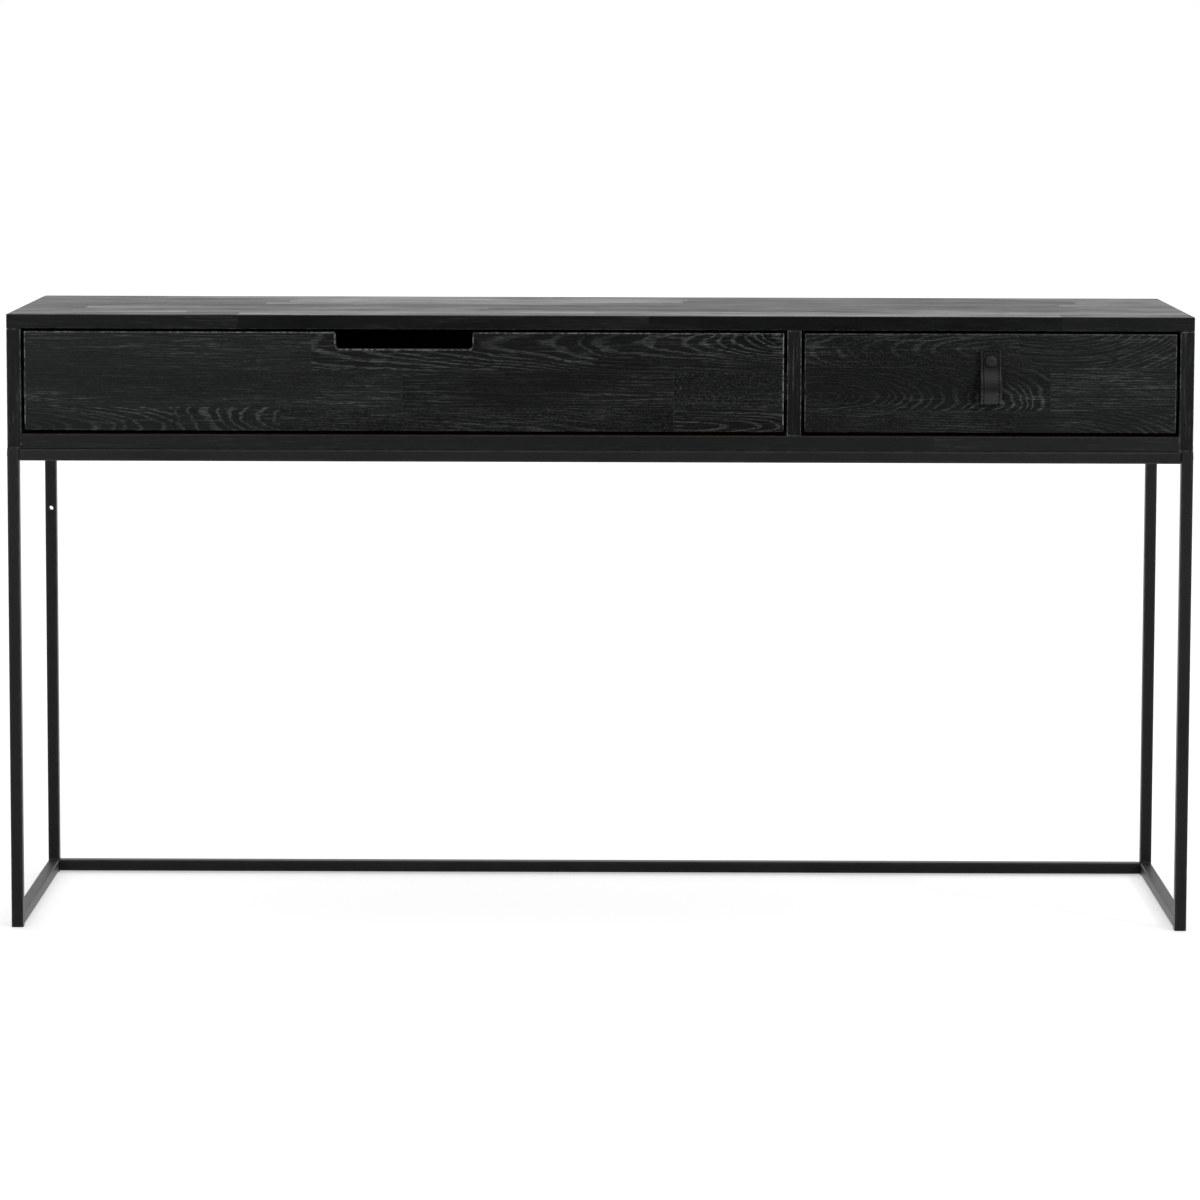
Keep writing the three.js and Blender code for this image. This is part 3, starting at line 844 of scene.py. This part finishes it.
def makeFrame():
    tubes = {"front_left_leg": 2, "front_right_leg": 2, "rear_left_leg": 2, "rear_right_leg": 2,
             "left_top_rail": 1, "right_top_rail": 1, "left_base_rail": 1, "right_base_rail": 1,
             "front_top_rail": 0, "rear_top_rail": 0, "rear_base_rail": 0}
    for node, axis in tubes.items():
        piece = makeTube(node, axis)
        if node == "rear_left_leg":
            low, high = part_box(node)
            wall = Vector((tubeLook["wall"],) * 3)
            cutWith(piece, block("bore", low + wall, high - wall))
            letGo()
            bpy.ops.mesh.primitive_cylinder_add(
                vertices=holeLook["sides"], radius=holeLook["radius"], depth=holeLook["reach"],
                location=((low.x + high.x) / 2, (low.y + high.y) / 2, holeLook["height"]),
                rotation=(math.pi / 2, 0, 0))
            drill = bpy.context.object
            settle(drill)
            cutWith(piece, drill)
        smooth(piece, tubeLook["sharp"])
        place(piece, "desk", "frame_steel", frameSteel, node)


makeFrame()
print("frame made")


# Weld beads in the corners between the side rails and the legs
weldLook = {"size": 0.0022, "length": 0.0128, "ripple": 0.0011, "hollow": 0.92, "profile": 0.18,
            "swell": 1.10, "lastSwell": 0.8}


# A hollow bead along X: a slightly uneven ripple, drawn out step by step.
def makeBead():
    look = weldLook
    half = look["length"] / 2
    letGo()
    bpy.ops.mesh.primitive_plane_add(
        size=look["size"], location=(-half, look["size"] / 2, look["size"] / 2),
        rotation=(0, math.pi / 2, 0))
    bead = bpy.context.object
    settle(bead)
    openEdit(bead)
    pickPoints(bead, lambda p: p.co.y > 1e-4 and p.co.z > 1e-4)
    bpy.ops.mesh.bevel(offset=look["size"] * look["hollow"], segments=5, profile=look["profile"],
                       affect="VERTICES")
    bpy.ops.mesh.select_mode(type="FACE")
    pickAll()
    steps = round(look["length"] / look["ripple"])
    for step in range(steps):
        drawOut(look["length"] / steps, 0, 0)
        swell = look["swell"] if step % 2 == 0 else 1 / look["swell"]
        if step == steps - 1:
            swell = look["lastSwell"]
        bpy.ops.transform.resize(value=(1, swell, swell), center_override=(0, 0, 0))
    faceOutward()
    closeEdit()
    applied(bead, "SUBSURF", levels=1, render_levels=1)
    return bead


def makeWelds():
    bead = makeBead()
    for label in ("left", "right"):
        for end in ("front", "rear"):
            for rail in ("top", "base"):
                railLow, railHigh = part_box(f"{label}_{rail}_rail")
                legLow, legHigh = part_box(f"{end}_{label}_leg")
                towards = 1 if end == "front" else -1
                upwards = 1 if rail == "base" else -1
                spot = Vector(((railLow.x + railHigh.x) / 2,
                               legHigh.y if end == "front" else legLow.y,
                               railHigh.z if rail == "base" else railLow.z))
                matrix = Matrix.Translation(spot) @ Matrix.Diagonal((1, towards, upwards, 1))
                piece = copyTo(bead, f"{end}_{label}_{rail}_weld", matrix)
                settle(piece)
                openEdit(piece)
                faceOutward()
                closeEdit()
                bpy.ops.object.shade_smooth()
                place(piece, "desk", "frame_steel", frameSteel)
    bpy.data.objects.remove(bead)


makeWelds()
print("welds made")


# Turned parts: a ring is raised and narrowed step by step along +Z
def turnPiece(name, profile, sides=32):
    radius, height = profile[0]
    letGo()
    bpy.ops.mesh.primitive_circle_add(vertices=sides, radius=radius, fill_type="NGON",
                                      location=(0, 0, height))
    piece = bpy.context.object
    piece.name = name
    settle(piece)
    openEdit(piece)
    pickAll()
    bpy.ops.mesh.select_mode(type="FACE")
    for nextRadius, nextHeight in profile[1:]:
        drawOut(0, 0, nextHeight - height)
        ratio = nextRadius / radius
        bpy.ops.transform.resize(value=(ratio, ratio, 1), center_override=(0, 0, nextHeight))
        radius = nextRadius
        height = nextHeight
    faceOutward()
    closeEdit()
    return piece


# Bolts and screws with a six-sided socket; heads point along +Z before they are turned into place
boltLook = {
    "bolt": [(0.0025, -0.0250), (0.0025, -0.0030), (0.00525, -0.0004), (0.00525, -0.0001), (0.0050, 0.00025),
             (0.0044, 0.0004)],
    "boltHead": 0.0004,
    "screw": [(0.0003, -0.0428), (0.0020, -0.0398), (0.0020, -0.0024), (0.0040, -0.0024), (0.0040, -0.0012),
              (0.0036, -0.0005), (0.0028, 0.0)],
    "socket": 0.0016,
    "socketDepth": 0.0015,
    "sharp": 30,
}


def makeFastener(name, profile, headTop):
    look = boltLook
    piece = turnPiece(name, profile)
    letGo()
    bpy.ops.mesh.primitive_cylinder_add(vertices=6, radius=look["socket"], depth=2 * look["socketDepth"],
                                        location=(0, 0, headTop))
    socket = bpy.context.object
    settle(socket)
    cutWith(piece, socket)
    smooth(piece, look["sharp"])
    return piece


def makeFasteners():
    bolt = makeFastener("boltPattern", boltLook["bolt"], boltLook["boltHead"])
    screw = makeFastener("screwPattern", boltLook["screw"], 0.0)
    for label, turn in (("left", -math.pi / 2), ("right", math.pi / 2)):
        for spot in ("front_top", "rear_top", "rear_base"):
            node = f"{spot}_{label}_bolt"
            low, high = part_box(node)
            legLow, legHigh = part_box(f"{spot.split('_')[0]}_{label}_leg")
            face = legLow.x if label == "left" else legHigh.x
            middle = (low + high) / 2
            matrix = Matrix.Translation((face, middle.y, middle.z)) @ Matrix.Rotation(turn, 4, "Y")
            place(copyTo(bolt, node + "_head", matrix), "desk", "black_screw", blackScrew, node)
        for spot in ("front", "rear"):
            node = f"{spot}_{label}_case_screw"
            low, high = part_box(node)
            middle = (low + high) / 2
            matrix = Matrix.Translation((middle.x, middle.y, low.z)) @ Matrix.Rotation(math.pi, 4, "X")
            place(copyTo(screw, node + "_head", matrix), "desk", "black_screw", blackScrew, node)
    bpy.data.objects.remove(bolt)
    bpy.data.objects.remove(screw)


makeFasteners()
print("fasteners made")


# Glides under the legs
glideLook = {"corner": 0.0016, "edge": 0.00045, "foot": 0.0015, "shoulder": 0.0018, "sharp": 30}


def makeGlides():
    look = glideLook
    for spot in ("front_left", "front_right", "rear_left", "rear_right"):
        node = spot + "_glide"
        low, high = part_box(node)
        piece = block(node + "_foot", low, (high.x, high.y, look["foot"]))
        openEdit(piece)
        pickEdges(piece, lambda e: abs(e.verts[0].co.z - e.verts[1].co.z) > 1e-4)
        bpy.ops.mesh.bevel(offset=look["corner"], segments=5, affect="EDGES")
        pickEdges(piece, lambda e: all(p.co.z < 1e-5 for p in e.verts))
        bpy.ops.mesh.bevel(offset=look["edge"], segments=3, affect="EDGES")
        pickFaces(piece, lambda f: f.normal.z > 0.99)
        bpy.ops.mesh.inset(thickness=look["shoulder"])
        drawOut(0, 0, high.z - look["foot"])
        closeEdit()
        smooth(piece, look["sharp"])
        place(piece, "desk", "glide_plastic", glidePlastic, node)


makeGlides()
print("glides made")


# Strap handle: one strip of leather folded down and out, stitched and held by a domed stud
strapLook = {
    "width": 0.025,
    "thickness": 0.0025,
    "drop": 0.071,
    "projection": 0.018,
    "corner": 0.0025,
    "edge": 0.0006,
    "seam": 0.00025,
    "studDrop": 0.016,
    "studRadius": 0.0075,
    "backPull": 0.72,
    "frontPull": 0.66,
    "steps": 96,
    "acrossSteps": 10,
    "cornerSteps": 6,
    "curveSteps": 60,
    "sharp": 50,
}
stitchLook = {"inset": 0.0028, "pitch": 0.0048, "length": 0.0034, "width": 0.0015, "height": 0.0008,
              "reach": 0.092, "round": 0.00026, "taper": 0.55, "lift": 0.00005}


def curvePoint(points, t):
    a, b, c, d = points
    s = 1 - t
    weights = (s ** 3, 3 * s * s * t, 3 * s * t * t, t ** 3)
    return tuple(sum(w * p[i] for w, p in zip(weights, (a, b, c, d))) for i in range(2))


# The middle of the strip from the side: distance out from the drawer front, then height from the top
def strapLine():
    look = strapLook
    half = look["thickness"] / 2
    back = look["seam"] + half
    front = back + look["thickness"] + look["seam"]
    low = half - look["drop"]
    out = look["projection"] - half
    middle = (back + out) / 2
    clamp = look["studDrop"] + look["studRadius"]
    belly = low + look["projection"]
    size = look["projection"]
    parts = [
        ((back, 0), (back, -clamp / 3), (back, -clamp * 2 / 3), (back, -clamp)),
        ((back, -clamp), (back, low * look["backPull"]), (middle - size * 0.38, low), (middle, low)),
        ((middle, low), (middle + size * 0.3, low), (out, belly - size * 0.5), (out, belly)),
        ((out, belly), (out, belly * look["backPull"]), (front, belly * look["frontPull"]),
         (front, -clamp)),
        ((front, -clamp), (front, -clamp * 2 / 3), (front, -clamp / 3), (front, 0)),
    ]
    points = [curvePoint(parts[0], 0)]
    steps = look["curveSteps"]
    for part in parts:
        points += [curvePoint(part, i / steps) for i in range(1, steps + 1)]
    return points


def lineMarks(points):
    marks = [0.0]
    for (a, b), (c, d) in zip(points, points[1:]):
        marks.append(marks[-1] + math.hypot(c - a, d - b))
    return marks


def pointAt(points, marks, distance):
    distance = min(max(distance, 0.0), marks[-1])
    i = 1
    while i < len(marks) - 1 and marks[i] < distance:
        i += 1
    share = (distance - marks[i - 1]) / (marks[i] - marks[i - 1])
    a, b = points[i - 1], points[i]
    spot = Vector((a[0] + (b[0] - a[0]) * share, a[1] + (b[1] - a[1]) * share))
    return spot, Vector((b[0] - a[0], b[1] - a[1])).normalized()


def makeStrap():
    look = strapLook
    low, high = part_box("strap_handle")
    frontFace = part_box("right_drawer_front")[0].y
    centre = (low.x + high.x) / 2
    top = high.z
    points = strapLine()
    marks = lineMarks(points)
    total = marks[-1]
    corner = look["corner"]
    turn = look["cornerSteps"]
    rows = [corner * (1 - math.cos(math.pi / 2 * i / turn)) for i in range(turn + 1)]
    steps = look["steps"]
    rows += [corner + (total - 2 * corner) * i / steps for i in range(1, steps)]
    rows += [total - corner * (1 - math.cos(math.pi / 2 * (turn - i) / turn)) for i in range(turn + 1)]
    letGo()
    bpy.ops.mesh.primitive_grid_add(x_subdivisions=look["acrossSteps"], y_subdivisions=len(rows) - 1, size=1)
    piece = bpy.context.object
    piece.name = "strap_handle_leather"
    settle(piece)
    flat = piece.data.uv_layers.new(name="strip")
    spots = {}
    for vertex in piece.data.vertices:
        row = round((vertex.co.y + 0.5) * (len(rows) - 1))
        distance = rows[row]
        toEnd = min(distance, total - distance)
        half = look["width"] / 2
        if toEnd < corner:
            half += math.sqrt(max(corner ** 2 - (corner - toEnd) ** 2, 0)) - corner
        across = vertex.co.x * 2 * half
        spot = pointAt(points, marks, distance)[0]
        spots[vertex.index] = (across, distance)
        vertex.co = (centre + across, frontFace - spot.x, top + spot.y)
    for loop in piece.data.loops:
        flat.data[loop.index].uv = spots[loop.vertex_index]
    for layer in [l.name for l in piece.data.uv_layers if l.name != "strip"]:
        piece.data.uv_layers.remove(piece.data.uv_layers[layer])
    applied(piece, "SOLIDIFY", thickness=look["thickness"], offset=0.0, use_even_offset=True)
    applied(piece, "BEVEL", width=look["edge"], segments=3, limit_method="ANGLE",
            angle_limit=math.radians(look["sharp"]))
    openEdit(piece)
    faceOutward()
    closeEdit()
    smooth(piece, look["sharp"])
    place(piece, "right_drawer", "strap_leather", strapLeather, "strap_handle")
    return centre, frontFace, top, points, marks


# Where each stitch goes: across the strip, out and up, its heading, its outward way, and if it lies level
def stitchPlaces(points, marks):
    look = stitchLook
    total = marks[-1]
    half = strapLook["width"] / 2 - look["inset"]
    lift = strapLook["thickness"] / 2 + look["lift"]
    places = []
    count = int((look["reach"] - look["inset"]) / look["pitch"])
    for number in range(count):
        fromTop = look["inset"] + look["pitch"] * (number + 0.5)
        spot, heading = pointAt(points, marks, total - fromTop)
        outward = Vector((heading.y, -heading.x))
        for side in (-1, 1):
            places.append((side * half, spot + outward * lift, heading, outward, False))
    spanCount = round(2 * half / look["pitch"])
    spot, heading = pointAt(points, marks, total - look["inset"])
    outward = Vector((heading.y, -heading.x))
    for number in range(spanCount):
        across = -half + 2 * half * (number + 0.5) / spanCount
        places.append((across, spot + outward * lift, heading, outward, True))
    return places


def makeStitches(centre, frontFace, top, points, marks):
    look = stitchLook
    size = Vector((look["width"], look["height"], look["length"]))
    pattern = block("stitchPattern", -size / 2, size / 2)
    openEdit(pattern)
    bevelAll(look["round"], 1)
    pickFaces(pattern, lambda f: abs(f.normal.z) > 0.99)
    bpy.ops.transform.resize(value=(look["taper"], look["taper"], 1), center_override=(0, 0, 0))
    closeEdit()
    bpy.ops.object.shade_smooth()
    made = []
    for across, spot, heading, outward, level in stitchPlaces(points, marks):
        origin = Vector((centre + across, frontFace - spot.x, top + spot.y))
        alongWay = Vector((0, -heading.x, heading.y))
        outWay = Vector((0, -outward.x, outward.y))
        sideWay = outWay.cross(alongWay)
        if level:
            alongWay, sideWay = sideWay, -alongWay
        matrix = Matrix((
            (sideWay.x, outWay.x, alongWay.x, origin.x),
            (sideWay.y, outWay.y, alongWay.y, origin.y),
            (sideWay.z, outWay.z, alongWay.z, origin.z),
            (0, 0, 0, 1)))
        made.append(copyTo(pattern, "stitch", matrix))
    bpy.data.objects.remove(pattern)
    bpy.context.view_layer.update()
    letGo()
    for piece in made:
        piece.select_set(True)
    bpy.context.view_layer.objects.active = made[0]
    bpy.ops.object.join()
    stitches = bpy.context.object
    stitches.name = "strap_stitches"
    place(stitches, "right_drawer", "strap_leather", strapThread)


studLook = {"radius": 0.0075, "height": 0.0036, "rim": 0.0008, "steps": 12, "post": 0.0028,
            "round": 0.0002, "tip": 0.0004, "sides": 48, "sharp": 30}
studScrewLook = {"post": 0.0016, "slotHalf": 0.0005, "slotReach": 0.0045, "slotDepth": 0.0008,
                 "slotPast": 0.003, "gap": 0.00025, "sides": 40}


def makeStud():
    look = studLook
    low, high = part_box("strap_stud")
    radius, height, rim = look["radius"], look["height"], look["rim"]
    profile = [(look["post"], -(high.y - low.y - height)), (look["post"], 0.0),
               (radius - look["round"], 0.0), (radius, look["round"]), (radius, rim)]
    for i in range(1, look["steps"]):
        angle = math.pi / 2 * i / look["steps"]
        profile.append((radius * math.cos(angle), rim + (height - rim) * math.sin(angle)))
    profile.append((look["tip"], height))
    piece = turnPiece("strap_stud_dome", profile, look["sides"])
    middle = (low + high) / 2
    piece.matrix_world = (Matrix.Translation((middle.x, low.y + height, middle.z))
                          @ Matrix.Rotation(math.pi / 2, 4, "X"))
    settle(piece)
    smooth(piece, look["sharp"])
    place(piece, "right_drawer", "black_stud", blackStud, "strap_stud")


def makeStudScrew():
    look = studScrewLook
    low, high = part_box("strap_screw")
    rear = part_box("right_drawer_front")[1].y
    gap = look["gap"]
    head = high.y - rear - gap
    radius = (high.x - low.x) / 2
    profile = [(look["post"], low.y - rear), (look["post"], gap), (radius, gap), (radius, gap + head * 0.5),
               (radius * 0.92, gap + head * 0.8), (radius * 0.78, gap + head)]
    piece = turnPiece("strap_screw_head", profile, look["sides"])
    half, reach = look["slotHalf"], look["slotReach"]
    floor, past = head - look["slotDepth"], head + look["slotPast"]
    for x, y in ((reach, half), (half, reach)):
        cutWith(piece, block("slot", (-x, -y, floor), (x, y, past)))
    middle = (low + high) / 2
    piece.matrix_world = (Matrix.Translation((middle.x, rear, middle.z))
                          @ Matrix.Rotation(-math.pi / 2, 4, "X"))
    settle(piece)
    smooth(piece, studLook["sharp"])
    place(piece, "right_drawer", "black_stud", blackStud, "strap_screw")


makeStitches(*makeStrap())
makeStud()
makeStudScrew()
print("handle made")


# Washers and runners keep their own shape
plainFinishes = {"_washer": washerPlastic, "_member": runnerSteel}
for name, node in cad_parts.items():
    for ending, finish in plainFinishes.items():
        if name.endswith(ending):
            node.data.materials.clear()
            node.data.materials.append(finish)
print("runners and washers finished")


# Floor, light and camera
studioLook = {
    "floorSize": 60.0,
    "floor": grey(0.82),
    "floorGlow": 0.48,
    "behind": 1.05,
    "front": 0.03,
    "above": 1.0,
    "lights": [
        {"name": "keyRight", "spot": (3.0, -2.3, 2.1), "size": (0.5, 0.5), "power": 30.0,
         "tint": (1.0, 1.0, 1.0)},
        {"name": "sideLeft", "spot": (-1.8, -2.7, 1.0), "size": (0.5, 1.2), "power": 7.4,
         "tint": (0.9, 1.0, 0.94)},
        {"name": "sideRight", "spot": (1.9, -2.7, 0.9), "size": (0.5, 1.2), "power": 4.0,
         "tint": (0.9, 1.0, 0.99)},
    ],
    "aim": (0.0, 0.0, 0.65),
}


def makeStudio():
    look = studioLook
    letGo()
    bpy.ops.mesh.primitive_plane_add(size=look["floorSize"], location=(0, 0, 0))
    floor = bpy.context.object
    floor.name = "floor"
    settle(floor)
    material, bench = newFinish("floorPaint")
    bench.surface({"Base Color": look["floor"], "Roughness": 0.9, "Specular IOR Level": 0.1,
                   "Emission Color": grey(1.0), "Emission Strength": look["floorGlow"]})
    floor.data.materials.append(material)
    floor.visible_glossy = False

    world = bpy.data.worlds.new("studio")
    world.use_nodes = True
    bpy.context.scene.world = world
    bench = Bench(world.node_tree)
    way = bench.add("TexCoord", {}, {}, "Generated")
    x, y, z = bench.split(way)
    towards = bench.ease(y, -0.35, 0.30)
    level = look["front"] + towards * (look["behind"] - look["front"])
    level = level + bench.ease(z, 0.55, 0.95) * look["above"] * (1.0 - towards)
    seen = bench.add("LightPath", {}, {}, "Is Camera Ray")
    level = level * (1.0 - seen) + seen * 1.0
    glow = bench.add("Background", {}, {"Color": grey(1.0), "Strength": level})
    bench.add("OutputWorld", {}, {"Surface": glow})

    for light in look["lights"]:
        data = bpy.data.lights.new(light["name"], "AREA")
        data.shape = "RECTANGLE"
        data.size, data.size_y = light["size"]
        data.energy = light["power"]
        data.color = light["tint"]
        lamp = bpy.data.objects.new(light["name"], data)
        bpy.context.scene.collection.objects.link(lamp)
        lamp.location = light["spot"]
        away = Vector(look["aim"]) - lamp.location
        lamp.rotation_euler = away.to_track_quat("-Z", "Y").to_euler()
        lamp.visible_camera = False


cameraLook = {
    "spot": (0.01642, -5.98583, 1.15143),
    "yaw": -0.00282,
    "pitch": 0.09885,
    "roll": -0.00275,
    "lens": 138.02,
    "sensor": 36.0,
    "shift": -0.1,
    "farthest": 200.0,
}


def makeCamera():
    look = cameraLook
    yaw, pitch, roll = look["yaw"], look["pitch"], look["roll"]
    forward = Vector((math.sin(yaw) * math.cos(pitch), math.cos(yaw) * math.cos(pitch), -math.sin(pitch)))
    level = Vector((math.cos(yaw), -math.sin(yaw), 0))
    down = forward.cross(level)
    right = level * math.cos(roll) + down * math.sin(roll)
    down = down * math.cos(roll) - level * math.sin(roll)
    data = bpy.data.cameras.new("camera")
    data.sensor_width = look["sensor"]
    data.lens = look["lens"]
    data.shift_y = look["shift"]
    data.clip_end = look["farthest"]
    camera = bpy.data.objects.new("camera", data)
    bpy.context.scene.collection.objects.link(camera)
    turn = Matrix((right, -down, -forward)).transposed()
    camera.matrix_world = Matrix.Translation(look["spot"]) @ turn.to_4x4()
    bpy.context.scene.camera = camera


makeStudio()
makeCamera()
bpy.context.scene.view_settings.view_transform = "Standard"
print("studio made")

bpy.context.view_layer.update()
